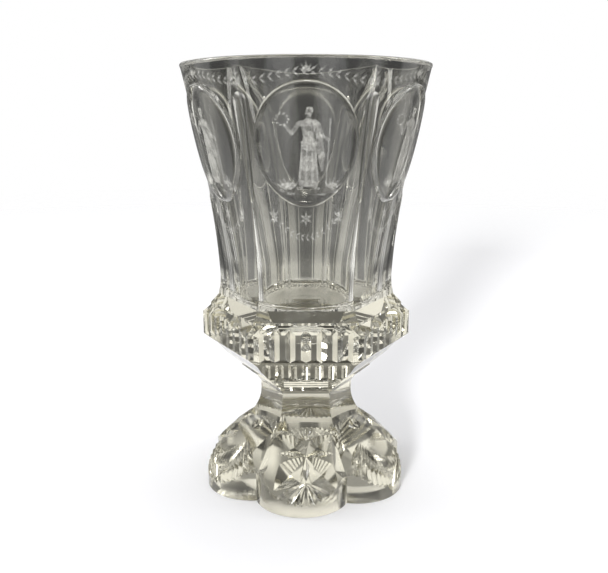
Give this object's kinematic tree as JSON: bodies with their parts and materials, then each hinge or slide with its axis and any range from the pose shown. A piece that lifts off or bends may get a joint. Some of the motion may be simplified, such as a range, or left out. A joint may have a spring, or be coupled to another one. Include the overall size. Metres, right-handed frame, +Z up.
{
  "type": "goblet",
  "caption": "Heavy clear cut-glass goblet with raised oval medallions, a fluted hexagonal collar and a scalloped foot.",
  "frame": {"origin": "centre of the foot's flat underside, on the surface the goblet stands on", "axes": "+Z up along the goblet's axis, -Y towards the first medallion, +X to its right"},
  "size_m": [0.087, 0.086, 0.15],
  "materials": {
    "cut_crystal": "clear lead glass with a faint warm grey tint, wheel cut and polished"
  },
  "bodies": {
    "root": {"bowl": "cut_crystal", "collar": "cut_crystal", "stem": "cut_crystal", "foot": "cut_crystal"}
  },
  "joints": []
}
